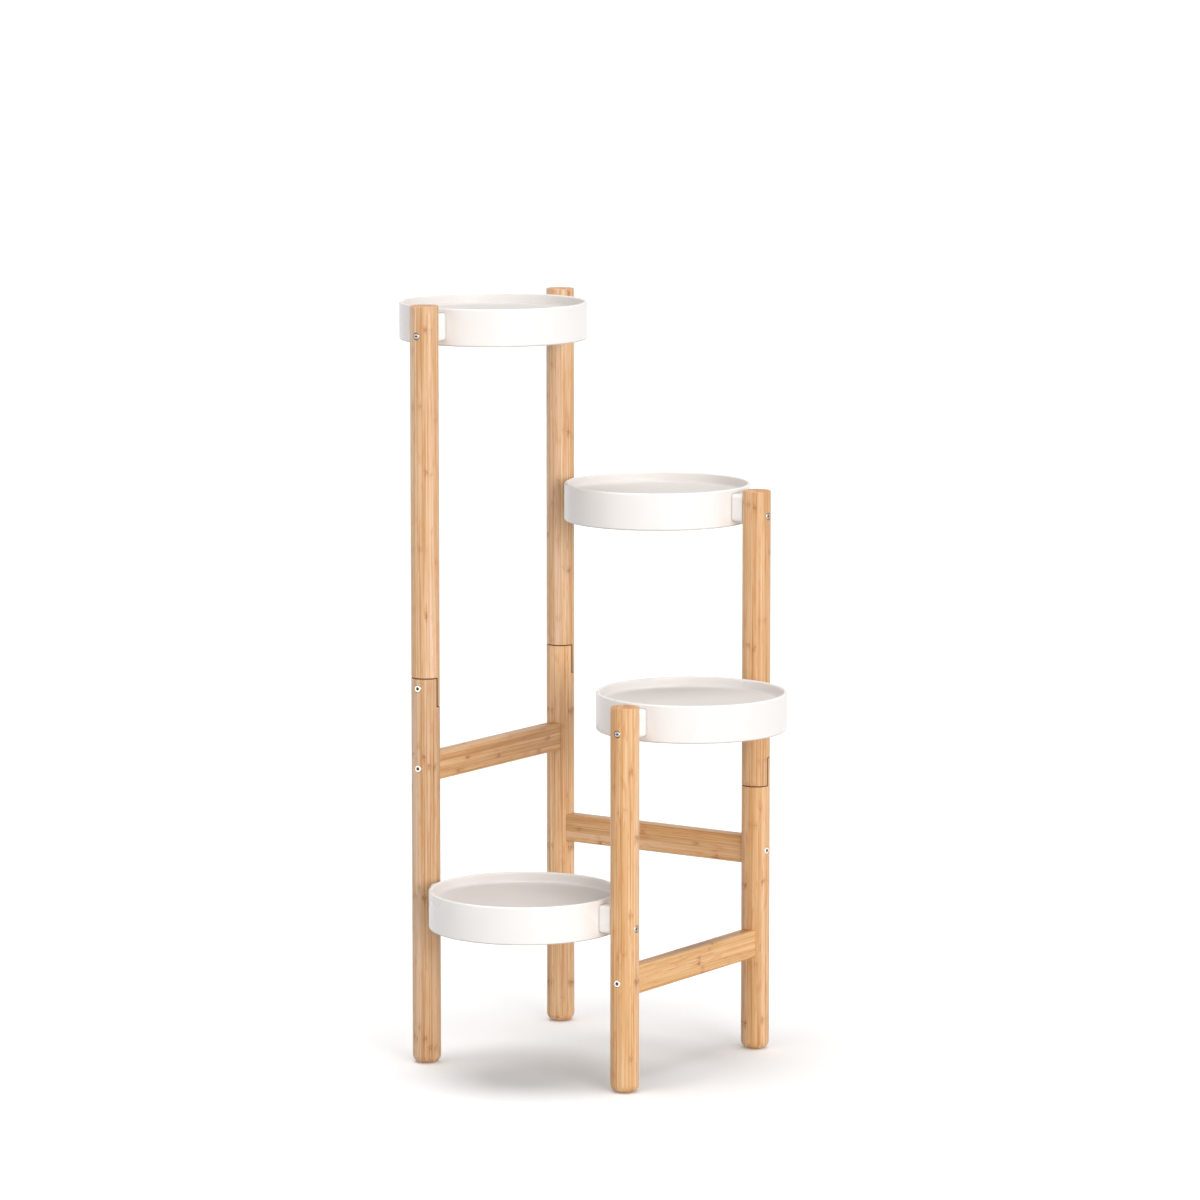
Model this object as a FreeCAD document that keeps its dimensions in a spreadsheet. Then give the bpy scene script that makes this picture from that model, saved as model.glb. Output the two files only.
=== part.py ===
import FreeCAD, Part
import math
import os
import Sketcher

# Tiered plant stand. Three crossbars tie four round bamboo legs into an open square, and a
# round tray spans each side of the square, one step lower from side to side. The three taller
# legs are made of two lengths joined by a half lap.
#
# Millimetres, +Z up, origin on the floor at the centre of the square. -Y is the front, where
# the lowest tray is, and -X is the left, where the highest tray is.

SIZES = {
    # legs, turned from laminated bamboo
    "leg_diameter": 33.0,
    "tall_leg_height": 882.0,
    "middle_leg_height": 660.0,
    "short_leg_height": 442.6,
    "foot_radius": 10.0,
    "end_chamfer": 0.8,
    # half laps between the lower and upper lengths of a leg
    "front_left_lap_height": 435.8,
    "back_left_lap_height": 440.3,
    "back_right_lap_height": 330.4,
    "lap_length": 33.6,
    "lap_gap": 0.3,
    "lap_bolt_rise": 5.0,
    # crossbars, let into flat seats in the legs
    "bar_height": 32.5,
    "bar_thickness": 18.0,
    "bar_corner": 2.5,
    "left_bar_height": 347.5,
    "back_bar_height": 237.0,
    "right_bar_height": 127.5,
    "seat_depth": 6.0,
    "seat_clearance": 0.15,
    # trays, injection moulded
    "tray_diameter": 219.0,
    "tray_depth": 43.4,
    "tray_wall": 4.0,
    "rim_to_floor": 12.0,
    "floor_thickness": 2.6,
    "rim_rounding": 1.8,
    "base_rounding": 1.4,
    "floor_corner": 3.0,
    "rib_thickness": 2.0,
    "rib_height": 9.0,
    "rib_count": 8,
    "rib_hub_diameter": 36.0,
    "top_tray_drop": 5.0,
    "bottom_rim_height": 219.0,
    # bosses, which stand out from a tray's wall to its two legs
    "boss_reach": 12.0,
    "boss_width": 20.0,
    "boss_height": 31.6,
    "boss_corner": 4.0,
    "boss_drop": 5.5,
    "saddle_wrap": 3.0,
    "saddle_clearance": 0.15,
    # hexagon-socket bolts and the threaded inserts that take them
    "bolt_diameter": 5.0,
    "bolt_head_diameter": 8.5,
    "bolt_head_height": 5.0,
    "bolt_socket_width": 4.0,
    "bolt_socket_depth": 2.5,
    "insert_diameter": 9.0,
    "insert_length": 10.0,
    "insert_ridge_depth": 0.6,
    "insert_ridge_flank": 0.3,
    "insert_ridge_count": 4,
    "thread_clearance": 0.05,
    # cross-recess screws through the legs into the bosses
    "screw_diameter": 4.5,
    "screw_head_diameter": 8.5,
    "screw_head_height": 3.0,
    "screw_head_rounding": 1.2,
    "screw_recess_length": 4.8,
    "screw_recess_width": 1.1,
    "screw_recess_depth": 1.8,
    "screw_drop": 29.2,
    "screw_bite": 10.0,
    # shared by bolts and screws
    "tip_chamfer": 0.5,
    "head_sink": 0.6,
    "head_clearance": 0.2,
    "shank_clearance": 0.15,
    "bore_spare": 1.5,
    # how far a cutting sketch runs past the piece that it cuts
    "cut_spare": 1.0,
}

# Two places nearer than this, in mm, are the same.
SAME_PLACE = 0.001
UP = FreeCAD.Vector(0, 0, 1)

# Sizes that follow from the driving ones.
LEG_RADIUS = "(sizes.leg_diameter / 2)"
LEG_OFFSET = "(sizes.tray_diameter / 2 + sizes.boss_reach + sizes.leg_diameter / 2)"
SEAT_FLOOR = f"({LEG_RADIUS} - sizes.seat_depth)"
BAR_END = f"({LEG_OFFSET} - {SEAT_FLOOR} - sizes.seat_clearance)"
HEAD_TOP = f"({LEG_RADIUS} - sizes.head_sink)"
TOP_RIM = "(sizes.tall_leg_height - sizes.top_tray_drop)"

# Each way out of a leg: the plane square to it, and the side of that plane it lies on.
WAYS = {
    "right": ("YZ_Plane", 1),
    "left": ("YZ_Plane", -1),
    "front": ("XZ_Plane", 1),
    "back": ("XZ_Plane", -1),
}
OPPOSITE = {"right": "left", "left": "right", "front": "back", "back": "front"}

# Each corner of the square: the signs of its leg's X and Y.
CORNERS = {
    "front_left": (-1, -1),
    "back_left": (-1, 1),
    "back_right": (1, 1),
    "front_right": (1, -1),
}

# The middle of each half lap, and the bolt through it, a little above the middle.
LAP_HEIGHTS = {corner: f"sizes.{corner}_lap_height" for corner in ("front_left", "back_left", "back_right")}
LAP_BOLT_HEIGHTS = {corner: f"({height} + sizes.lap_bolt_rise)" for corner, height in LAP_HEIGHTS.items()}

# Each side of the square: the signs of its middle's X and Y, and its turn about Z.
SIDES = {
    "left": (-1, 0, 90),
    "back": (0, 1, 0),
    "right": (1, 0, 90),
    "front": (0, -1, 0),
}

doc = FreeCAD.newDocument("tiered_plant_stand")
sheet = doc.addObject("Spreadsheet::Sheet", "sizes")
for row, (alias, size) in enumerate(SIZES.items(), start=1):
    sheet.set(f"A{row}", alias)
    sheet.set(f"B{row}", str(size))
    sheet.setAlias(f"B{row}", alias)
doc.recompute()

nodes = []


# ---- sketches ----

def number(expression):
    """Work out an expression of the sheet's sizes."""
    return float(sheet.evalExpression(expression))


def new_body(name):
    """Start a body."""
    return doc.addObject("PartDesign::Body", name)


def point(x, y):
    """Turn a pair of expressions into a point of a sketch."""
    return FreeCAD.Vector(number(x), number(y), 0)


def origin_plane(body, role):
    """Find one of a body's own origin planes."""
    return next(plane for plane in body.Origin.OriginFeatures if plane.Role == role)


def new_sketch(body, name, plane, offset="0"):
    """Start a sketch on an origin plane, or at a distance along that plane's normal."""
    sketch = body.newObject("Sketcher::SketchObject", f"{body.Name}_{name}")
    sketch.AttachmentSupport = (origin_plane(body, plane), "")
    sketch.MapMode = "FlatFace"
    sketch.setExpression("AttachmentOffset.Base.z", offset)
    return sketch


def facing_sketch(body, name, way, distance):
    """Start a sketch square to a way out of the body, at a distance that way."""
    plane, side = WAYS[way]
    return new_sketch(body, name, plane, f"{side} * {distance}")


def constrain(sketch, constraint, expression):
    """Add a constraint whose size is an expression."""
    index = sketch.addConstraint(constraint)
    sketch.setExpression(f"Constraints[{index}]", expression)


def pin_point(sketch, geometry, end, x, y):
    """Hold a point of a sketch at two expressions."""
    for kind, zero_axis, expression in (("DistanceX", -2, x), ("DistanceY", -1, y)):
        distance = number(expression)
        if abs(distance) < SAME_PLACE:
            sketch.addConstraint(Sketcher.Constraint("PointOnObject", geometry, end, zero_axis))
        elif distance > 0:
            constrain(sketch, Sketcher.Constraint(kind, -1, 1, geometry, end, distance), expression)
        else:
            distance_back = Sketcher.Constraint(kind, geometry, end, -1, 1, -distance)
            constrain(sketch, distance_back, f"-({expression})")


def draw_polygon(sketch, corners):
    """Draw a closed outline through corners given as pairs of expressions."""
    for index, corner in enumerate(corners):
        next_corner = corners[(index + 1) % len(corners)]
        sketch.addGeometry(Part.LineSegment(point(*corner), point(*next_corner)))
    for index, (x, y) in enumerate(corners):
        next_line = (index + 1) % len(corners)
        sketch.addConstraint(Sketcher.Constraint("Coincident", index, 2, next_line, 1))
        pin_point(sketch, index, 1, x, y)


def draw_circle(sketch, diameter, x="0", y="0"):
    """Draw a circle about a centre given as two expressions."""
    radius = number(diameter) / 2
    sketch.addGeometry(Part.Circle(point(x, y), UP, radius))
    constrain(sketch, Sketcher.Constraint("Diameter", 0, 2 * radius), diameter)
    pin_point(sketch, 0, 3, x, y)


def draw_rounded_rectangle(sketch, width, height, corner, y="0"):
    """Draw a rectangle with round corners, centred on the sketch's vertical axis at y."""
    radius = number(corner)
    corner_signs = ((1, 1), (-1, 1), (-1, -1), (1, -1))
    arc_ends = []
    for x_sign, y_sign in corner_signs:
        on_side = (f"{x_sign} * {width} / 2", f"{y} + {y_sign} * ({height} / 2 - {corner})")
        on_flat = (f"{x_sign} * ({width} / 2 - {corner})", f"{y} + {y_sign} * {height} / 2")
        arc_ends.append((on_side, on_flat) if x_sign == y_sign else (on_flat, on_side))
    for index, (x_sign, y_sign) in enumerate(corner_signs):
        centre = point(f"{x_sign} * ({width} / 2 - {corner})", f"{y} + {y_sign} * ({height} / 2 - {corner})")
        start_angle = index * math.pi / 2
        circle = Part.Circle(centre, UP, radius)
        sketch.addGeometry(Part.ArcOfCircle(circle, start_angle, start_angle + math.pi / 2))
        next_arc_start = arc_ends[(index + 1) % 4][0]
        sketch.addGeometry(Part.LineSegment(point(*arc_ends[index][1]), point(*next_arc_start)))
    for index, (arc_start, arc_end) in enumerate(arc_ends):
        arc = 2 * index
        line = arc + 1
        next_arc = (arc + 2) % 8
        constrain(sketch, Sketcher.Constraint("Radius", arc, radius), corner)
        sketch.addConstraint(Sketcher.Constraint("Coincident", arc, 2, line, 1))
        sketch.addConstraint(Sketcher.Constraint("Coincident", line, 2, next_arc, 1))
        pin_point(sketch, arc, 1, *arc_start)
        pin_point(sketch, arc, 2, *arc_end)


# ---- features ----

def pad(body, sketch, length, symmetric=False):
    """Pad a sketch along its normal, or half each way."""
    feature = body.newObject("PartDesign::Pad", f"{sketch.Name}_pad")
    feature.Profile = sketch
    feature.SideType = "Symmetric" if symmetric else "One side"
    feature.setExpression("Length", length)
    doc.recompute()
    return feature


def revolve(body, sketch, axis):
    """Turn a sketch right round one of its axes."""
    feature = body.newObject("PartDesign::Revolution", f"{sketch.Name}_turned")
    feature.Profile = sketch
    feature.ReferenceAxis = (sketch, [axis])
    feature.Angle = 360
    doc.recompute()
    return feature


def cut(body, sketch, side=0, depth=None):
    """Cut a sketch out both ways (side 0), or along its normal (1) or against it (-1)."""
    volume_before = body.Shape.Volume
    feature = body.newObject("PartDesign::Pocket", f"{sketch.Name}_cut")
    feature.Profile = sketch
    feature.SideType = "One side" if side else "Symmetric"
    feature.Reversed = side > 0
    if depth:
        feature.Type = "Length"
        feature.setExpression("Length", depth)
    else:
        feature.Type = "ThroughAll"
    doc.recompute()
    if body.Shape.Volume >= volume_before:
        raise ValueError(f"{feature.Name} cuts nothing")
    return feature


def mirror(body, features):
    """Repeat features on the other side of the body's YZ plane."""
    feature = body.newObject("PartDesign::Mirrored", f"{body.Name}_mirrored")
    feature.Originals = features
    feature.MirrorPlane = (origin_plane(body, "YZ_Plane"), [""])
    body.Tip = feature
    doc.recompute()
    return feature


def round_edges(feature, radius, height):
    """Name a feature's level round edges of one radius at one height."""
    names = []
    for index, edge in enumerate(feature.Shape.Edges, start=1):
        curve = edge.Curve
        if not isinstance(curve, Part.Circle) or curve.Axis.cross(UP).Length > SAME_PLACE:
            continue
        size_matches = abs(curve.Radius - number(radius)) < SAME_PLACE
        height_matches = abs(curve.Center.z - number(height)) < SAME_PLACE
        if size_matches and height_matches:
            names.append(f"Edge{index}")
    return names


def dress(kind, feature, edges, size):
    """Fillet or chamfer some of a feature's edges."""
    body = feature.getParentGeoFeatureGroup()
    dressed = body.newObject(f"PartDesign::{kind}", f"{feature.Name}_{kind.lower()}")
    dressed.Base = (feature, edges)
    dressed.setExpression({"Fillet": "Radius", "Chamfer": "Size"}[kind], size)
    doc.recompute()
    return dressed


# ---- placing ----

def place(item, x="0", y="0", z="0", turn=0):
    """Place an object at three expressions, turned about Z."""
    item.Placement = FreeCAD.Placement(FreeCAD.Vector(), FreeCAD.Rotation(UP, turn))
    for axis, expression in zip("xyz", (x, y, z)):
        item.setExpression(f"Placement.Base.{axis}", expression)


def place_at_corner(item, corner, z="0", turn=0):
    """Place an object on a leg's axis."""
    x_sign, y_sign = CORNERS[corner]
    place(item, f"{x_sign} * {LEG_OFFSET}", f"{y_sign} * {LEG_OFFSET}", z, turn)


def place_at_side(item, side, z):
    """Place an object at the middle of a side of the square, its X along that side."""
    x_sign, y_sign, turn = SIDES[side]
    place(item, f"{x_sign} * {LEG_OFFSET}", f"{y_sign} * {LEG_OFFSET}", z, turn)


def add_node(item, label):
    """Name a finished sub-part."""
    item.Label = label
    nodes.append(item)


# ---- legs ----

def leg_length(name, corner, bottom, top, on_floor):
    """Turn a round length of leg, with a rounded foot or a chamfered lower end."""
    body = new_body(name)
    blank = new_sketch(body, "blank", "XY_Plane", bottom)
    draw_circle(blank, "sizes.leg_diameter")
    turned = pad(body, blank, f"{top} - {bottom}")
    lower_edge = round_edges(turned, LEG_RADIUS, bottom)
    if on_floor:
        eased = dress("Fillet", turned, lower_edge, "sizes.foot_radius")
    else:
        eased = dress("Chamfer", turned, lower_edge, "sizes.end_chamfer")
    dress("Chamfer", eased, round_edges(eased, LEG_RADIUS, top), "sizes.end_chamfer")
    place_at_corner(body, corner)
    return body


def cut_lap(body, removed_way, shoulder, end):
    """Take half of a leg's section away from a shoulder to an end, for a half lap."""
    side = {"front": -1, "back": 1}[removed_way]
    lap_face = f"{-side} * sizes.lap_gap / 2"
    outside = f"{side} * (sizes.leg_diameter / 2 + sizes.cut_spare)"
    sketch = new_sketch(body, "lap", "YZ_Plane")
    draw_polygon(sketch, [(lap_face, shoulder), (outside, shoulder), (outside, end), (lap_face, end)])
    halved = cut(body, sketch)
    dress("Chamfer", halved, round_edges(halved, LEG_RADIUS, shoulder), "sizes.end_chamfer")


def cut_fastener_hole(body, name, height, head_way, kind):
    """Drill right through a leg and sink the head of a bolt or screw into the way it faces."""
    plane, side = WAYS[head_way]
    hole = new_sketch(body, f"{name}_hole", plane)
    draw_circle(hole, f"sizes.{kind}_diameter + 2 * sizes.shank_clearance", y=height)
    cut(body, hole)
    under_head = f"({HEAD_TOP} - sizes.{kind}_head_height)"
    sink = facing_sketch(body, f"{name}_sink", head_way, under_head)
    draw_circle(sink, f"sizes.{kind}_head_diameter + 2 * sizes.head_clearance", y=height)
    cut(body, sink, side)


def cut_insert_hole(body, height, way):
    """Drill a lap face for a threaded insert."""
    side = WAYS[way][1]
    hole = facing_sketch(body, "insert_hole", way, "(sizes.lap_gap / 2)")
    draw_circle(hole, "sizes.insert_diameter + 2 * sizes.thread_clearance", y=height)
    cut(body, hole, side, "sizes.insert_length + sizes.bore_spare")


def cut_bar_seat(body, name, height, bar_way):
    """Cut the flat seat that takes a crossbar's end, and the hole for its bolt."""
    side = WAYS[bar_way][1]
    seat = facing_sketch(body, f"{name}_seat", bar_way, SEAT_FLOOR)
    width = "(sizes.bar_thickness + 2 * sizes.seat_clearance)"
    tall = "(sizes.bar_height + 2 * sizes.seat_clearance)"
    draw_rounded_rectangle(seat, width, tall, "(sizes.bar_corner + sizes.seat_clearance)", height)
    cut(body, seat, side)
    cut_fastener_hole(body, name, height, OPPOSITE[bar_way], "bolt")


def lapped_leg(corner, leg_height, lower_tab_way, bolt_head_way):
    """Make a leg of two lengths. Their tabs overlap, and a bolt through both holds them."""
    lap_bottom = f"({LAP_HEIGHTS[corner]} - sizes.lap_length / 2)"
    lap_top = f"({LAP_HEIGHTS[corner]} + sizes.lap_length / 2)"
    half_gap = "sizes.lap_gap / 2"
    lower_end = f"({lap_top} - {half_gap})"
    upper_end = f"({lap_bottom} + {half_gap})"
    lower = leg_length(f"{corner}_leg_lower", corner, "0", lower_end, on_floor=True)
    upper = leg_length(f"{corner}_leg_upper", corner, upper_end, leg_height, on_floor=False)
    upper_tab_way = OPPOSITE[lower_tab_way]
    cut_lap(lower, upper_tab_way, f"({lap_bottom} - {half_gap})", f"({lap_top} + sizes.cut_spare)")
    cut_lap(upper, lower_tab_way, f"({lap_top} + {half_gap})", f"({lap_bottom} - sizes.cut_spare)")
    tabs = {lower_tab_way: lower, upper_tab_way: upper}
    bolt_height = LAP_BOLT_HEIGHTS[corner]
    cut_fastener_hole(tabs[bolt_head_way], "lap", bolt_height, bolt_head_way, "bolt")
    cut_insert_hole(tabs[OPPOSITE[bolt_head_way]], bolt_height, OPPOSITE[bolt_head_way])
    add_node(lower, f"{corner}_leg_lower")
    add_node(upper, f"{corner}_leg_upper")
    return lower, upper


rim_heights = {
    "left": TOP_RIM,
    "back": "sizes.middle_leg_height",
    "right": "sizes.short_leg_height",
    "front": "sizes.bottom_rim_height",
}
screw_heights = {side: f"({rim} - sizes.screw_drop)" for side, rim in rim_heights.items()}

front_left_lower, front_left_upper = lapped_leg("front_left", "sizes.tall_leg_height", "front", "front")
cut_bar_seat(front_left_lower, "left_bar", "sizes.left_bar_height", "back")
cut_fastener_hole(front_left_lower, "bottom_tray", screw_heights["front"], "left", "screw")
cut_fastener_hole(front_left_upper, "top_tray", screw_heights["left"], "front", "screw")

back_left_lower, back_left_upper = lapped_leg("back_left", "sizes.tall_leg_height", "front", "back")
cut_bar_seat(back_left_lower, "left_bar", "sizes.left_bar_height", "front")
cut_bar_seat(back_left_lower, "back_bar", "sizes.back_bar_height", "right")
cut_fastener_hole(back_left_upper, "top_tray", screw_heights["left"], "back", "screw")
cut_fastener_hole(back_left_upper, "second_tray", screw_heights["back"], "left", "screw")

back_right_lower, back_right_upper = lapped_leg("back_right", "sizes.middle_leg_height", "back", "back")
cut_bar_seat(back_right_lower, "back_bar", "sizes.back_bar_height", "left")
cut_bar_seat(back_right_lower, "right_bar", "sizes.right_bar_height", "front")
cut_fastener_hole(back_right_upper, "second_tray", screw_heights["back"], "right", "screw")
cut_fastener_hole(back_right_upper, "third_tray", screw_heights["right"], "back", "screw")

# the short leg is one length, with no lap
front_right = leg_length("front_right_leg", "front_right", "0", "sizes.short_leg_height", on_floor=True)
cut_bar_seat(front_right, "right_bar", "sizes.right_bar_height", "back")
cut_fastener_hole(front_right, "third_tray", screw_heights["right"], "front", "screw")
cut_fastener_hole(front_right, "bottom_tray", screw_heights["front"], "right", "screw")
add_node(front_right, "front_right_leg")


# ---- bolts, inserts and screws ----

def turned_body(name, outline):
    """Turn an outline of (along, radius) pairs about the X axis."""
    body = new_body(name)
    sketch = new_sketch(body, "outline", "XY_Plane")
    draw_polygon(sketch, outline)
    revolve(body, sketch, "H_Axis")
    return body


def hexagon(width):
    """Corners of a hexagon of a width across flats."""
    flat = f"{width} / 2"
    low = f"{width} / 2 / sqrt(3)"
    high = f"{width} / sqrt(3)"
    return [
        (flat, low), ("0", high), (f"-{flat}", low),
        (f"-{flat}", f"-{low}"), ("0", f"-{high}"), (flat, f"-{low}"),
    ]


def cross(length, width):
    """Corners of a cross of two equal arms."""
    quarter = [(f"{length} / 2", f"{width} / 2"), (f"{width} / 2", f"{width} / 2"),
               (f"{width} / 2", f"{length} / 2")]
    corners = []
    for x_sign, y_sign in ((1, 1), (-1, 1), (-1, -1), (1, -1)):
        points = quarter if x_sign == y_sign else quarter[::-1]
        corners += [(f"{x_sign} * {x}", f"{y_sign} * {y}") for x, y in points]
    return corners


def bolt(name, head_top, tip):
    """A hexagon-socket bolt along X."""
    shank = "sizes.bolt_diameter / 2"
    head = "sizes.bolt_head_diameter / 2"
    under_head = f"{head_top} - sizes.bolt_head_height"
    body = turned_body(name, [
        (tip, "0"),
        (tip, f"{shank} - sizes.tip_chamfer"),
        (f"{tip} + sizes.tip_chamfer", shank),
        (under_head, shank),
        (under_head, head),
        (f"{head_top} - sizes.tip_chamfer", head),
        (head_top, f"{head} - sizes.tip_chamfer"),
        (head_top, "0"),
    ])
    socket = facing_sketch(body, "socket", "right", f"({head_top})")
    draw_polygon(socket, hexagon("sizes.bolt_socket_width"))
    cut(body, socket, -1, "sizes.bolt_socket_depth")
    return body


def insert(name, outer_end):
    """A threaded insert along X, ribbed outside to hold in the wood."""
    bore = "sizes.bolt_diameter / 2 + sizes.thread_clearance"
    crest = "sizes.insert_diameter / 2"
    root = f"{crest} - sizes.insert_ridge_depth"
    ridge_count = int(number("sizes.insert_ridge_count"))
    step = "sizes.insert_length / (2 * sizes.insert_ridge_count - 1)"
    outline = [(outer_end, bore)]
    for ridge in range(ridge_count):
        ridge_start = f"{outer_end} - {2 * ridge} * {step}"
        ridge_end = f"{outer_end} - {2 * ridge + 1} * {step}"
        outline += [
            (ridge_start, root),
            (f"{ridge_start} - sizes.insert_ridge_flank", crest),
            (f"{ridge_end} + sizes.insert_ridge_flank", crest),
            (ridge_end, root),
        ]
    outline.append((f"{outer_end} - sizes.insert_length", bore))
    return turned_body(name, outline)


def screw(name, head_top, tip):
    """A pan-head screw with a cross recess along X."""
    shank = "sizes.screw_diameter / 2"
    head = "sizes.screw_head_diameter / 2"
    under_head = f"{head_top} - sizes.screw_head_height"
    body = turned_body(name, [
        (tip, "0"),
        (f"{tip} + sizes.screw_diameter", shank),
        (under_head, shank),
        (under_head, head),
        (f"{head_top} - sizes.screw_head_rounding", head),
        (head_top, f"{head} - sizes.screw_head_rounding"),
        (head_top, "0"),
    ])
    recess = facing_sketch(body, "recess", "right", f"({head_top})")
    draw_polygon(recess, cross("sizes.screw_recess_length", "sizes.screw_recess_width"))
    cut(body, recess, -1, "sizes.screw_recess_depth")
    return body


def both_ends(source, name):
    """Join a fastener and its mirror image at a side's other end, as one group of two solids."""
    other = doc.addObject("Part::Mirroring", f"{name}_other")
    other.Source = source
    other.Normal = FreeCAD.Vector(1, 0, 0)
    pair = doc.addObject("Part::Compound", f"{name}_pair")
    pair.Links = [source, other]
    return pair


for corner, turn in (("front_left", -90), ("back_left", 90), ("back_right", 90)):
    lap_bolt = bolt(f"{corner}_lap_bolt", HEAD_TOP, "-(sizes.lap_gap / 2 + sizes.insert_length)")
    lap_insert = insert(f"{corner}_lap_insert", "-sizes.lap_gap / 2")
    for item in (lap_bolt, lap_insert):
        place_at_corner(item, corner, LAP_BOLT_HEIGHTS[corner], turn)
        add_node(item, item.Name)


# ---- crossbars ----

def crossbar(side, height):
    """A rounded bar with an insert in each end, and the two bolts that draw it into its seats."""
    name = f"{side}_crossbar"
    body = new_body(name)
    section = new_sketch(body, "section", "YZ_Plane")
    draw_rounded_rectangle(section, "sizes.bar_thickness", "sizes.bar_height", "sizes.bar_corner")
    pad(body, section, f"2 * {BAR_END}", symmetric=True)
    hole = facing_sketch(body, "insert_hole", "right", BAR_END)
    draw_circle(hole, "sizes.insert_diameter + 2 * sizes.thread_clearance")
    drilled = cut(body, hole, -1, "sizes.insert_length + sizes.bore_spare")
    mirror(body, [drilled])
    bolt_tip = f"{BAR_END} - sizes.insert_length"
    bolts = both_ends(bolt(f"{name}_bolt", f"{LEG_OFFSET} + {HEAD_TOP}", bolt_tip), f"{name}_bolt")
    inserts = both_ends(insert(f"{name}_insert", BAR_END), f"{name}_insert")
    for item, label in ((body, name), (bolts, f"{name}_bolts"), (inserts, f"{name}_inserts")):
        place_at_side(item, side, height)
        add_node(item, label)


crossbar("left", "sizes.left_bar_height")
crossbar("back", "sizes.back_bar_height")
crossbar("right", "sizes.right_bar_height")


# ---- trays ----

def tray(label, side):
    """A moulded tray with its rim at local zero, two bosses along X, and its two screws."""
    body = new_body(label)
    outer = "sizes.tray_diameter / 2"
    inner = f"({outer} - sizes.tray_wall)"
    base = "-sizes.tray_depth"
    floor_top = "-sizes.rim_to_floor"
    floor_bottom = "(-sizes.rim_to_floor - sizes.floor_thickness)"

    section = new_sketch(body, "section", "XZ_Plane")
    draw_polygon(section, [
        (outer, "0"), (outer, base), (inner, base), (inner, floor_bottom),
        ("0", floor_bottom), ("0", floor_top), (inner, floor_top), (inner, "0"),
    ])
    turned = revolve(body, section, "V_Axis")
    rim = round_edges(turned, outer, "0") + round_edges(turned, inner, "0")
    turned = dress("Fillet", turned, rim, "sizes.rim_rounding")
    foot_rim = round_edges(turned, outer, base) + round_edges(turned, inner, base)
    turned = dress("Fillet", turned, foot_rim, "sizes.base_rounding")
    dress("Fillet", turned, round_edges(turned, inner, floor_top), "sizes.floor_corner")

    # ribs under the floor, from a hub to the wall
    rib_bottom = f"({floor_bottom} - sizes.rib_height)"
    hub = new_sketch(body, "hub", "XY_Plane", rib_bottom)
    draw_circle(hub, "sizes.rib_hub_diameter")
    pad(body, hub, "sizes.rib_height")
    hub_core = new_sketch(body, "hub_core", "XY_Plane", rib_bottom)
    draw_circle(hub_core, "sizes.rib_hub_diameter - 2 * sizes.rib_thickness")
    cut(body, hub_core, 1, "sizes.rib_height")
    rib_sketch = new_sketch(body, "rib", "XZ_Plane")
    rib_start = "(sizes.rib_hub_diameter / 2 - sizes.rib_thickness / 2)"
    rib_end = f"({inner} + sizes.tray_wall / 2)"
    rib_top = f"({floor_bottom} + sizes.floor_thickness / 2)"
    draw_polygon(rib_sketch, [
        (rib_start, rib_bottom), (rib_end, rib_bottom), (rib_end, rib_top), (rib_start, rib_top),
    ])
    rib = pad(body, rib_sketch, "sizes.rib_thickness", symmetric=True)
    ribs = body.newObject("PartDesign::PolarPattern", f"{label}_ribs")
    ribs.Originals = [rib]
    ribs.Axis = (rib_sketch, ["V_Axis"])
    ribs.Angle = 360
    ribs.setExpression("Occurrences", "sizes.rib_count")
    body.Tip = ribs
    doc.recompute()

    # bosses, hollowed to sit round the legs and drilled for the screws
    boss_start = f"({outer} - sizes.tray_wall / 2)"
    boss_end = f"({LEG_OFFSET} - {LEG_RADIUS} + sizes.saddle_wrap)"
    boss_middle = "(-sizes.boss_drop - sizes.boss_height / 2)"
    boss_sketch = facing_sketch(body, "boss", "right", boss_start)
    draw_rounded_rectangle(boss_sketch, "sizes.boss_width", "sizes.boss_height", "sizes.boss_corner",
                           boss_middle)
    boss = pad(body, boss_sketch, f"{boss_end} - {boss_start}")
    saddle_sketch = new_sketch(body, "saddle", "XY_Plane")
    draw_circle(saddle_sketch, "sizes.leg_diameter + 2 * sizes.saddle_clearance", LEG_OFFSET)
    saddle = cut(body, saddle_sketch)
    pilot_sketch = facing_sketch(body, "pilot", "right", boss_end)
    draw_circle(pilot_sketch, "sizes.screw_diameter + 2 * sizes.thread_clearance", y="-sizes.screw_drop")
    pilot_depth = "sizes.saddle_wrap + sizes.screw_bite + sizes.bore_spare"
    pilot = cut(body, pilot_sketch, -1, pilot_depth)
    mirror(body, [boss, saddle, pilot])

    screw_tip = f"{LEG_OFFSET} - {LEG_RADIUS} - sizes.screw_bite"
    screws = both_ends(screw(f"{label}_screw", f"{LEG_OFFSET} + {HEAD_TOP}", screw_tip), f"{label}_screw")
    place_at_side(body, side, rim_heights[side])
    place_at_side(screws, side, screw_heights[side])
    add_node(body, label)
    add_node(screws, f"{label}_screws")


tray("top_tray", "left")
tray("second_tray", "back")
tray("third_tray", "right")
tray("bottom_tray", "front")


# ---- checks and files ----

doc.recompute()
for item in doc.Objects:
    if "Invalid" in item.State or "Error" in item.State:
        raise RuntimeError(f"{item.Label} failed")
for node in nodes:
    if node.Shape.isNull() or not node.Shape.isValid():
        raise RuntimeError(f"{node.Label} has no valid shape")

os.makedirs("parts", exist_ok=True)
for node in nodes:
    node.Shape.exportStep(f"parts/{node.Label}.step")
    print(node.Label, len(node.Shape.Solids), node.Shape.BoundBox)
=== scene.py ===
import math

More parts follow.
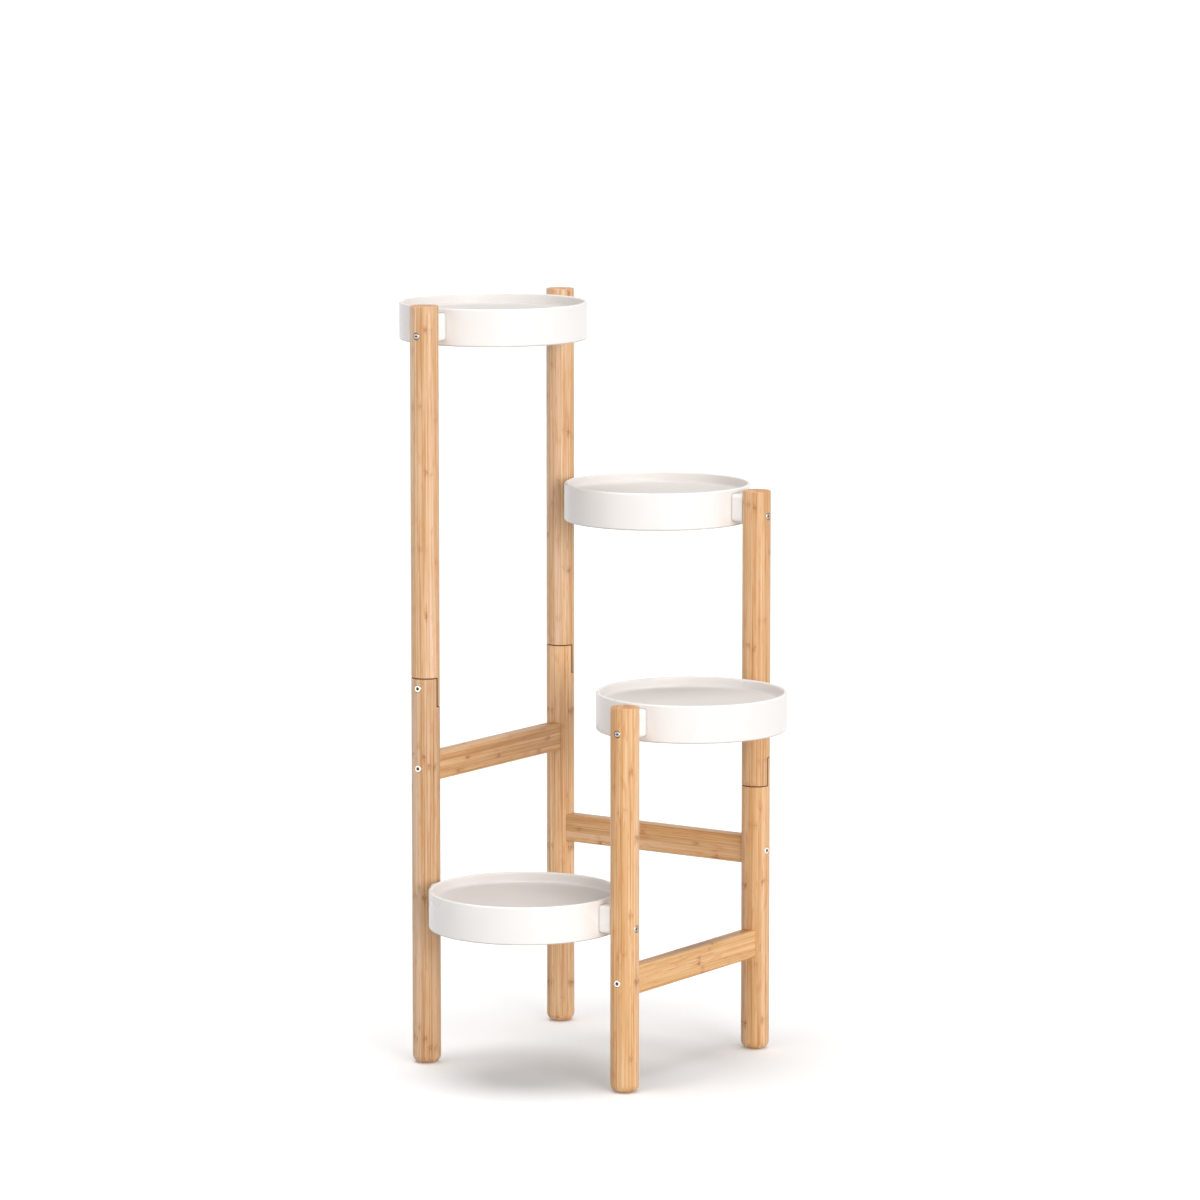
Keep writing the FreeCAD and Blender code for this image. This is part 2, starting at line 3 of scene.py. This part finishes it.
import bmesh
import bpy
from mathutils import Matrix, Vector


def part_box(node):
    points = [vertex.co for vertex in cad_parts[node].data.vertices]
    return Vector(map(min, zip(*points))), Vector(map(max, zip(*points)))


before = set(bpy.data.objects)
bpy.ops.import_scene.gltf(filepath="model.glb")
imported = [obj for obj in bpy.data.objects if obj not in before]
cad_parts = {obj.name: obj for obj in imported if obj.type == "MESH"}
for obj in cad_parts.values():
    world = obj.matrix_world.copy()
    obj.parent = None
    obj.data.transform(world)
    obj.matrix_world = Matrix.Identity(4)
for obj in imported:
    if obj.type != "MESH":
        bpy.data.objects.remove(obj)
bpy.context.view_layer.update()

# ---- camera ----
# A long lens a little above the top tray, looking down at the front right leg, which is nearest.

CAMERA_TURN = math.radians(33.896)
CAMERA_DROOP = math.radians(7.46)
camera = bpy.data.objects.new("camera", bpy.data.cameras.new("camera"))
bpy.context.scene.collection.objects.link(camera)
camera.location = (3.6978, -5.4866, 1.4816)
camera.rotation_euler = (math.radians(90) - CAMERA_DROOP, 0, CAMERA_TURN)
camera.data.lens = 173.3
camera.data.shift_y = -0.056
bpy.context.scene.camera = camera
bpy.context.scene.view_settings.view_transform = "Standard"


# ---- studio ----
# Soft light from above, a softer one from the right of the camera and weaker ones from its left
# and from the far right, over a white floor that keeps the stand's shadow.

class Wire:
    """One output of a material's nodes. Sums and products of wires add Math nodes."""

    def __init__(self, tree, socket=None):
        self.tree = tree
        self.socket = socket

    def node(self, kind, settings=None, sockets=None, output=0):
        """Add a node: its settings first, then the values or wires of its sockets."""
        node = self.tree.nodes.new(kind)
        for name, value in (settings or {}).items():
            setattr(node, name, value)
        for name, value in (sockets or {}).items():
            if isinstance(value, Wire):
                self.tree.links.new(value.socket, node.inputs[name])
            else:
                node.inputs[name].default_value = value
        return Wire(self.tree, node.outputs[output] if node.outputs else None)

    def math(self, operation, *values):
        return self.node("ShaderNodeMath", {"operation": operation}, dict(enumerate((self, *values))))

    def __add__(self, other):
        return self.math("ADD", other)

    __radd__ = __add__

    def __mul__(self, other):
        return self.math("MULTIPLY", other)

    __rmul__ = __mul__

    def __sub__(self, other):
        return self.math("SUBTRACT", other)

    def __rsub__(self, other):
        return self * -1 + other

    def __truediv__(self, other):
        return self.math("DIVIDE", other)

    def __abs__(self):
        return self.math("ABSOLUTE")

    def ramp(self, start, end, low=0.0, high=1.0):
        """Go smoothly from low to high as the wire goes from start to end."""
        settings = {"interpolation_type": "SMOOTHSTEP"}
        sockets = {"Value": self, "From Min": start, "From Max": end, "To Min": low, "To Max": high}
        return self.node("ShaderNodeMapRange", settings, sockets)

    def bell(self, width):
        """Make a bell-shaped mask round zero."""
        return (self * self * (-1 / width ** 2)).math("EXPONENT")

    def dot(self, direction):
        sockets = {0: self, 1: direction}
        return self.node("ShaderNodeVectorMath", {"operation": "DOT_PRODUCT"}, sockets, "Value")

    def colour(self, start, end):
        """Mix from one colour to another by a mask."""
        sockets = {0: self, 6: start, 7: end}
        return self.node("ShaderNodeMix", {"data_type": "RGBA", "clamp_factor": True}, sockets, 2)


def new_finish(name):
    """Start a material with no nodes, and return it with its tree's starting wire."""
    material = bpy.data.materials.new(name)
    material.use_nodes = True
    material.node_tree.nodes.clear()
    return material, Wire(material.node_tree)


def finish_with(wire, shader):
    """Join a shader to the material's output."""
    wire.node("ShaderNodeOutputMaterial", {}, {"Surface": shader})


def seen_white(wire):
    """Mask rays that see the studio directly or in gloss, metal or glass."""
    camera_ray, glossy_ray, clear_ray = [
        wire.node("ShaderNodeLightPath", output=f"Is {kind} Ray")
        for kind in ("Camera", "Glossy", "Transmission")]
    return camera_ray.math("MAXIMUM", glossy_ray).math("MAXIMUM", clear_ray)


WHITE, BLACK = (1, 1, 1, 1), (0, 0, 0, 1)
SKY_STRENGTH = 0.09
world = bpy.data.worlds.new("white_studio")
bpy.context.scene.world = world
world.use_nodes = True
world.node_tree.nodes.clear()
sky = Wire(world.node_tree)
sky_light = seen_white(sky) * (1 - SKY_STRENGTH) + SKY_STRENGTH
sky_shader = sky.node("ShaderNodeBackground", {}, {"Color": WHITE, "Strength": sky_light})
sky.node("ShaderNodeOutputWorld", {}, {"Surface": sky_shader})

# each lamp: its turn to the right of the camera and its height, in degrees, its strength on a
# face square to it, where 1 shows white paint as white, and its softness in degrees
LAMPS = {
    "overhead": (0, 90, 0.68, 46),
    "key": (28, 6, 0.83, 38),
    "fill": (-50, 6, 0.40, 56),
    "side": (75, 6, 0.25, 50),
}
for name, (right, height, strength, softness) in LAMPS.items():
    lamp = bpy.data.lights.new(name, "SUN")
    lamp.energy = strength * math.pi
    lamp.angle = math.radians(softness)
    holder = bpy.data.objects.new(name, lamp)
    holder.rotation_euler = (math.radians(90 - height), 0, CAMERA_TURN + math.radians(right))
    bpy.context.scene.collection.objects.link(holder)

# the stand is lit by the floor's own white, and the camera sees plain white and the glow
FLOOR_RADIUS = 60.0
FLOOR_SEGMENTS = 96
FLOOR_WHITE = (0.62, 0.62, 0.62, 1)
FLOOR_GLOW = 0.17
floor_mesh = bpy.data.meshes.new("studio_floor")
floor_disc = bmesh.new()
bmesh.ops.create_circle(floor_disc, cap_ends=True, segments=FLOOR_SEGMENTS, radius=FLOOR_RADIUS)
floor_disc.to_mesh(floor_mesh)
floor_disc.free()
floor = bpy.data.objects.new("studio_floor", floor_mesh)
bpy.context.scene.collection.objects.link(floor)
floor_finish, paper = new_finish("white_paper")
seen = seen_white(paper)
lit = paper.node("ShaderNodeBsdfDiffuse", {}, {"Color": seen.colour(FLOOR_WHITE, WHITE)})
glow_colour = seen.colour(BLACK, WHITE)
glow = paper.node("ShaderNodeEmission", {}, {"Color": glow_colour, "Strength": FLOOR_GLOW})
finish_with(paper, paper.node("ShaderNodeAddShader", {}, {0: lit, 1: glow}))
floor_mesh.materials.append(floor_finish)


# ---- legs ----
# Three of the round legs are two lengths that meet in a half lap, and the short one is a single
# length. All are turned from blocks of bamboo strips, pressed and glued side by side, and have
# a clear satin lacquer. The strips run the whole length of a piece.

STRIP_THICKNESS = 6.4
STRIP_WIDTH = 19.0
ROW_STAGGER = 0.37
NODE_GAP = 165.0
PALE, PINK_PALE = (0.83, 0.60, 0.35, 1), (0.81, 0.535, 0.37, 1)
MIDDLE, DARK = (0.715, 0.43, 0.22, 1), (0.55, 0.27, 0.10, 1)
NODE_BROWN = (0.42, 0.16, 0.05, 1)
RED_BROWN = (0.62, 0.24, 0.09, 1)
GLUE_BROWN = (0.55, 0.28, 0.11, 1)
SEAM_BROWN = (0.20, 0.085, 0.03, 1)
SEAM_STRENGTH = 0.95


def middle_of(node):
    low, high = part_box(node)
    return (low + high) / 2


def dress(node, material):
    """Give a CAD piece its finish in every slot."""
    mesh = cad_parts[node].data
    mesh.materials.clear()
    mesh.materials.append(material)


def measure(place, way, start):
    """Measure how far along a way a place is from a start, in millimetres."""
    way = Vector(way)
    return place.dot(tuple(way * 1000)) - start.dot(way) * 1000


def bamboo(name, middle, stack, across, along, seed, warmth, shade=1.0, seams=None):
    """Lay the strips of a piece: stacked one way, side by side another, with the grain along.

    Warmth takes out blue and a little green, and shade dims or lifts the whole colour.
    Distances inside the finish are in millimetres from the middle of the piece.
    """
    material, wood = new_finish(name)
    place = wood.node("ShaderNodeTexCoord", output="Object")

    def run(way):
        return measure(place, way, middle)

    u, v, w = run(stack), run(across), run(along)

    def noise(across_grain, along_grain, detail, shift=0.0):
        vector = wood.node("ShaderNodeCombineXYZ", {}, {
            0: u * across_grain + (seed * 3.7 + shift),
            1: v * across_grain + seed * 1.9,
            2: w * along_grain + seed * 5.3})
        return wood.node("ShaderNodeTexNoise", {}, {"Vector": vector, "Scale": 1.0, "Detail": detail})

    # which strip a point is in, and how far across that strip
    layer = u / STRIP_THICKNESS + (0.5 + 0.31 * seed)
    layer_number = layer.math("FLOOR")
    across_layer = layer.math("FRACT")
    off_middle = abs(across_layer - 0.5)
    row = v / STRIP_WIDTH + layer_number * ROW_STAGGER + 0.23 * seed
    row_number = row.math("FLOOR")
    strip = wood.node("ShaderNodeCombineXYZ", {}, {0: layer_number, 1: row_number, 2: seed * 11.0})
    drawn = wood.node("ShaderNodeTexWhiteNoise", {"noise_dimensions": "3D"}, {"Vector": strip}, "Color")
    tone, turned, offset = [
        wood.node("ShaderNodeSeparateColor", {}, {0: drawn}, part) for part in range(3)]

    # the dense side of a strip, which was next to the skin of the stem, is darker
    skin = abs(across_layer - turned.math("GREATER_THAN", 0.5))
    fibres = noise(2.6, 0.03, 4.0)
    streaks = noise(0.85, 0.006, 2.0, 40.0)
    bands = noise(0.3, 0.004, 1.0, 60.0)
    drift = noise(0.06, 0.014, 2.0, 80.0)
    depth = (0.42 + (tone - 0.5) * 0.65 + skin * skin * 0.12 + (fibres - 0.5) * 0.7
             + (streaks - 0.5) * 1.9 + (bands - 0.5) * 0.8 + (drift - 0.5) * 0.5)
    pale_strip = offset.colour(PALE, PINK_PALE)
    pale_half = depth.ramp(0.0, 0.5).colour(pale_strip, MIDDLE)
    grain = depth.ramp(0.5, 1.0).colour(pale_half, DARK)

    # a stem's node leaves a thin scar on each strip, in a curly blotch, with darker streaks above
    # and below
    pair = wood.node("ShaderNodeCombineXYZ", {}, {
        0: (layer_number * 0.5).math("FLOOR"), 1: row_number, 2: seed * 4.0 + 2.0})
    pair_offset = wood.node("ShaderNodeTexWhiteNoise", {"noise_dimensions": "3D"}, {"Vector": pair})
    along_node = ((w / NODE_GAP + pair_offset).math("FRACT") - 0.5) * NODE_GAP + (offset - 0.5) * 5
    ragged = along_node + (streaks - 0.5) * 12 + (fibres - 0.5) * 5
    scar = ragged.bell(1.1) * off_middle.ramp(0.25, 0.5, 1.0, 0.2)
    blotch = (ragged + 2.0).bell(4.0) * off_middle.ramp(0.1, 0.48, 1.0, 0.0)
    blotch *= fibres.ramp(0.38, 0.6, 0.35, 1.0)
    curled = (noise(0.27, 0.19, 1.0, 150.0) - 0.5).bell(0.07)
    curls = curled * along_node.bell(5.0) * off_middle.ramp(0.3, 0.5, 1.0, 0.2)
    tail = along_node.bell(14.0) * streaks.ramp(0.5, 0.66) * off_middle.ramp(0.15, 0.5, 1.0, 0.15)
    node_mark = (scar * 0.35 + blotch * 0.4 + curls * 0.5 + tail * 0.6) * turned.ramp(0.1, 0.7, 0.35, 1.0)
    # some fibres flush red
    flush = noise(0.33, 0.04, 1.0, 120.0).ramp(0.56, 0.7) * 0.42
    marked = node_mark.colour(flush.colour(grain, RED_BROWN), NODE_BROWN)

    # glue lines between strips
    to_layer_edge = (0.5 - off_middle) * STRIP_THICKNESS
    to_row_edge = (0.5 - abs(row.math("FRACT") - 0.5)) * STRIP_WIDTH
    glue = to_layer_edge.math("MINIMUM", to_row_edge).ramp(0.05, 0.36, 1.0, 0.0)
    glued = (glue * streaks.ramp(0.3, 0.7, 0.15, 0.6)).colour(marked, GLUE_BROWN)

    # cut ends drink the lacquer and show darker
    normal = wood.node("ShaderNodeNewGeometry", output="Normal")
    end_grain = abs(normal.dot(tuple(Vector(along)))).ramp(0.45, 0.95)
    ended = (end_grain * (0.25 + fibres.ramp(0.45, 0.65) * 0.4)).colour(glued, NODE_BROWN)

    # edges and the split of a half lap are darker
    if seams:
        ended = seams(run).colour(ended, SEAM_BROWN)

    tint = (shade, shade * (1 - 0.05 * warmth), shade * (1 - 0.16 * warmth), 1)
    tinted = wood.node("ShaderNodeMix", {"data_type": "RGBA", "blend_type": "MULTIPLY"}, {
        0: 1.0, 6: ended, 7: tint}, 2)
    height = fibres * 0.35 + streaks * 0.2 - glue * 0.5 - scar * 0.4
    bump = wood.node("ShaderNodeBump", {}, {"Strength": 0.5, "Distance": 0.00008, "Height": height})
    finish_with(wood, wood.node("ShaderNodeBsdfPrincipled", {}, {
        "Base Color": tinted,
        "Roughness": 0.40 + (fibres - 0.5) * 0.25 + glue * 0.08 + end_grain * 0.2,
        "Specular IOR Level": 0.35,
        "Coat Weight": 0.06,
        "Coat Roughness": 0.22,
        "Normal": bump,
    }))
    return material


# each length of a lapped leg: how far its strips are turned from the camera's view, the seed of
# its grain, its warmth and its shade
LEGS = {
    "front_left": {"lower": (6, 76, -1.0, 0.92), "upper": (10, 91, -0.9, 1.02)},
    # the back left lower length's shade above 1 is partly painted light, lifting it against the shade
    # that falls on it under the trays
    "back_left": {"lower": (-22, 57, -0.1, 1.09), "upper": (6, 128, -0.8, 1.0)},
    "back_right": {"lower": (-22, 52, 1.1, 1.0), "upper": (10, 6, 0.3, 0.99)},
}
# the side of each lap that the lower length's tab is on: 1 is the back, -1 the front
LOWER_TAB = {"front_left": -1, "back_left": -1, "back_right": 1}


def lap_seams(corner, is_lower):
    """Mask the darker edges and split of one length of a lapped leg, in millimetres."""
    lower_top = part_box(f"{corner}_leg_lower")[1].z * 1000
    upper_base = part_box(f"{corner}_leg_upper")[0].z * 1000
    middle_height = middle_of(f"{corner}_leg_{'lower' if is_lower else 'upper'}").z * 1000
    tab_side = LOWER_TAB[corner] if is_lower else -LOWER_TAB[corner]

    def seams(run):
        height, off_split = run((0, 0, 1)) + middle_height, run((0, 1, 0))
        off_tab = (off_split * -tab_side).ramp(-0.2, 0.0)
        if is_lower:
            own_end, shoulder = lower_top - height, upper_base - height
        else:
            own_end, shoulder = height - upper_base, height - lower_top
        end_edge = abs(own_end).ramp(0.4, 0.95, 1.0, 0.0)
        shoulder_edge = abs(shoulder).ramp(0.4, 0.95, 1.0, 0.0) * off_tab
        above_base = height.ramp(upper_base - 0.5, upper_base)
        in_lap = above_base * height.ramp(lower_top, lower_top + 0.5, 1.0, 0.0)
        split = abs(off_split).ramp(1.1, 2.1, 1.0, 0.0) * in_lap
        return end_edge.math("MAXIMUM", shoulder_edge).math("MAXIMUM", split) * SEAM_STRENGTH

    return seams


def leg_ways(degrees):
    """Turn the strips about a leg's axis, from square to the camera."""
    turn = CAMERA_TURN + math.radians(degrees)
    return (math.cos(turn), math.sin(turn), 0), (-math.sin(turn), math.cos(turn), 0), (0, 0, 1)


for corner, lengths in LEGS.items():
    for length, (degrees, *grain) in lengths.items():
        node = f"{corner}_leg_{length}"
        seams = lap_seams(corner, length == "lower")
        material = bamboo(f"bamboo_{node}", middle_of(node), *leg_ways(degrees), *grain, seams)
        dress(node, material)
short_leg, short_leg_turn, short_leg_seed, short_leg_warmth = "front_right_leg", -4, 9, 1.0
dress(short_leg, bamboo(f"bamboo_{short_leg}", middle_of(short_leg), *leg_ways(short_leg_turn),
                        short_leg_seed, short_leg_warmth))


# ---- crossbars ----
# Flat bars of the same bamboo, with the strips stacked up their height, let into the legs and
# drawn tight by a bolt at each end.

# each bar: the way it runs, the seed of its grain, its warmth and its shade
BARS = {
    "left": ((0, 1, 0), 12, 1.2, 0.98),
    "back": ((1, 0, 0), 13, 1.2, 0.96),
    "right": ((0, 1, 0), 14, 2.0, 1.02),
}
for side, (along, *grain) in BARS.items():
    node = f"{side}_crossbar"
    across = (along[1], along[0], 0)
    dress(node, bamboo(f"bamboo_{node}", middle_of(node), (0, 0, 1), across, along, *grain))


# ---- trays ----
# Round moulded trays in warm white, glossy outside and finely matt on the floor, which has
# faint rubs. Each of the two bosses on a tray takes a screw from its leg.

TRAY_WHITE = (0.90, 0.872, 0.85, 1)
TRAY_SHADE = (0.875, 0.838, 0.812, 1)
# a darker white painted inside the trays as shade, and the colour of the rubs on their floors
TRAY_RECESS_SHADE, TRAY_RUB = (0.71, 0.67, 0.64, 1), (0.60, 0.56, 0.53, 1)
# a grey painted as shade along each wall's lower edge and round each boss
PAINTED_SHADE_GREY = (0.50, 0.46, 0.43, 1)
FLOOR_BELOW_RIM = 12.0
INSIDE_RADIUS, OUTSIDE_RADIUS = 105.5, 109.5
BOSS_HALF_WIDTH, BOSS_TOP, BOSS_BASE, BOSS_CORNER = 10.0, -5.5, -37.1, 4.0
# the way from each tray's middle to its bosses
TRAY_WAYS = {
    "top_tray": (0, 1, 0),
    "second_tray": (1, 0, 0),
    "third_tray": (0, 1, 0),
    "bottom_tray": (1, 0, 0),
}


def tray_white(node, boss_way):
    """Colour one tray, with distances in millimetres from the middle of its rim."""
    low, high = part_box(node)
    rim = Vector(((low.x + high.x) / 2, (low.y + high.y) / 2, high.z))
    material, plastic = new_finish(f"white_{node}")
    place = plastic.node("ShaderNodeTexCoord", output="Object")
    x, y, z = [measure(place, way, rim) for way in ((1, 0, 0), (0, 1, 0), (0, 0, 1))]

    def noise(vector, scale, detail):
        sockets = {"Vector": vector, "Scale": scale, "Detail": detail}
        return plastic.node("ShaderNodeTexNoise", {}, sockets)

    radius = (x * x + y * y).math("SQRT")
    inside = radius.ramp(INSIDE_RADIUS - 1.5, INSIDE_RADIUS + 0.5, 1.0, 0.0)
    on_floor = abs(z + FLOOR_BELOW_RIM).ramp(0.4, 1.0, 1.0, 0.0) * inside
    cloud = noise(place, 9.0, 2.0)
    tint = cloud.ramp(0.3, 0.7).colour(TRAY_WHITE, TRAY_SHADE)
    # short rubs that run round the floor
    turned = plastic.node("ShaderNodeCombineXYZ", {}, {
        0: radius * 0.9, 1: y.math("ARCTAN2", x) * 3.0, 2: z * 0.1})
    rubs = noise(turned, 1.0, 4.0).ramp(0.56, 0.72) * on_floor * cloud.ramp(0.4, 0.6)
    # the inside of each tray, floor and inner wall, is painted darker as shade
    in_recess = radius.ramp(INSIDE_RADIUS - 1.0, INSIDE_RADIUS + 1.5, 1.0, 0.0)
    recess_shaded = (in_recess * 0.9).colour(tint, TRAY_RECESS_SHADE)
    rubbed = (rubs * 0.35).colour(recess_shaded, TRAY_RUB)
    # painted shade along the lower edge of the wall
    above_edge = z + (high.z - low.z) * 1000
    edge_shaded = above_edge.ramp(0.7, 2.0, 0.75, 0.0).colour(rubbed, PAINTED_SHADE_GREY)
    # and painted shade in the corner between the wall and each boss, whose outline is a rounded rectangle
    sideways = abs(x if boss_way[1] else y) - (BOSS_HALF_WIDTH - BOSS_CORNER)
    upright = abs(z - (BOSS_TOP + BOSS_BASE) / 2) - ((BOSS_TOP - BOSS_BASE) / 2 - BOSS_CORNER)
    past_side, past_end = sideways.math("MAXIMUM", 0.0), upright.math("MAXIMUM", 0.0)
    off_outline = ((past_side * past_side + past_end * past_end).math("SQRT")
                   + sideways.math("MAXIMUM", upright).math("MINIMUM", 0.0) - BOSS_CORNER)
    past_wall = radius - OUTSIDE_RADIUS
    in_corner = past_wall.ramp(-0.8, -0.3) * past_wall.ramp(1.0, 2.5, 1.0, 0.0)
    boss_shaded = (off_outline.bell(0.9) * in_corner * 0.5).colour(edge_shaded, PAINTED_SHADE_GREY)
    peel = noise(place, 420.0, 2.0)
    matt = noise(place, 2600.0, 1.0)
    height = peel * 0.5 + matt * on_floor
    bump = plastic.node("ShaderNodeBump", {}, {"Strength": 0.35, "Distance": 0.00003, "Height": height})
    finish_with(plastic, plastic.node("ShaderNodeBsdfPrincipled", {}, {
        "Base Color": boss_shaded,
        "Roughness": 0.28 + (cloud - 0.5) * 0.08 + on_floor * 0.34 + rubs * 0.1,
        "Specular IOR Level": 0.3,
        "Coat Weight": 0.25 - on_floor * 0.25,
        "Coat Roughness": 0.24,
        "Normal": bump,
    }))
    return material


for tray, way in TRAY_WAYS.items():
    dress(tray, tray_white(tray, way))


# ---- bolts ----
# Nickel-plated hexagon-socket bolts, turned and plated, with their flat heads flush in the
# legs. A pair shares one line through a crossbar, and a single one goes through each lap.

THREAD_PITCH = 0.8
TURNING_PITCH = 0.3
# the near black painted into the heads' recesses as their shade
RECESS_SHADE = (0.03, 0.028, 0.026, 1)


def metal(name, node, way, plating, thread_radius, recess_radius):
    """Plate a node's fasteners, with turning marks, a thread and, in each head, a recess painted dark as
    its shade.

    Distances are in millimetres from the line that the fasteners lie on. The plating is its
    colour, its darker colour and its roughness.
    """
    bright, dark, roughness = plating
    low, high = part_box(node)
    head_face = max(high - low) * 500
    material, plate = new_finish(name)
    place = plate.node("ShaderNodeTexCoord", output="Object")
    up = Vector((0, 0, 1))
    along, sideways, upright = [
        measure(place, line, middle_of(node)) for line in (way, Vector(way).cross(up), up)]
    radius = (sideways * sideways + upright * upright).math("SQRT")
    angle = upright.math("ARCTAN2", sideways) / (2 * math.pi)
    grit = plate.node("ShaderNodeTexNoise", {}, {"Vector": place, "Scale": 900.0, "Detail": 3.0})
    rings = (radius * (2 * math.pi / TURNING_PITCH) + grit * 3).math("SINE")
    thread = abs((along / THREAD_PITCH + angle).math("FRACT") - 0.5)
    on_thread = radius.ramp(thread_radius, thread_radius + 0.15, 1.0, 0.0)
    sunk = (abs(along) - head_face).ramp(-0.35, -0.1, 1.0, 0.0)
    in_recess = radius.ramp(recess_radius, recess_radius + 0.2, 1.0, 0.0) * sunk
    colour = (grit.ramp(0.35, 0.75) * 0.4).colour(bright, dark)
    # the recess is painted near black as shade
    hollow_shaded = (in_recess * 0.8).colour(colour, RECESS_SHADE)
    height = rings * 0.25 + grit * 0.3 + thread * on_thread * 8
    bump = plate.node("ShaderNodeBump", {}, {"Strength": 0.4, "Distance": 0.00003, "Height": height})
    finish_with(plate, plate.node("ShaderNodeBsdfPrincipled", {}, {
        "Base Color": hollow_shaded,
        "Metallic": 1.0,
        "Roughness": roughness + (grit - 0.5) * 0.2 + in_recess * 0.3,
        "Normal": bump,
    }))
    return material


NICKEL_PLATE = (0.96, 0.94, 0.88, 1), (0.80, 0.78, 0.70, 1), 0.24
BOLT_THREAD_RADIUS, SOCKET_RADIUS = 2.55, 2.35
bolt_ways = {f"{side}_crossbar_bolts": way for side, (way, *grain) in BARS.items()}
bolt_ways |= {f"{corner}_lap_bolt": (0, 1, 0) for corner in LOWER_TAB}
for node, way in bolt_ways.items():
    dress(node, metal(f"nickel_{node}", node, way, NICKEL_PLATE, BOLT_THREAD_RADIUS, SOCKET_RADIUS))


# ---- inserts ----
# Zinc-plated threaded inserts, ribbed outside, pressed into the ends of the crossbars and the
# inner tabs of the laps. The bolts turn into them.

ZINC, ZINC_DARK = (0.52, 0.53, 0.54, 1), (0.34, 0.34, 0.33, 1)
INSERT_PLATE = ZINC, ZINC_DARK, 0.38
INSERT_THREAD_RADIUS, NO_RECESS = 2.7, 0.1
for bolt, way in bolt_ways.items():
    node = bolt.replace("bolt", "insert")
    dress(node, metal(f"zinc_{node}", node, way, INSERT_PLATE, INSERT_THREAD_RADIUS, NO_RECESS))


# ---- screws ----
# Zinc-plated pan-head screws with a cross recess, driven through the legs into the trays'
# bosses, two to a tray.

SCREW_PLATE = ZINC, ZINC_DARK, 0.34
SCREW_THREAD_RADIUS, CROSS_RADIUS = 2.3, 2.3
for tray, way in TRAY_WAYS.items():
    node = f"{tray}_screws"
    dress(node, metal(f"zinc_{node}", node, way, SCREW_PLATE, SCREW_THREAD_RADIUS, CROSS_RADIUS))
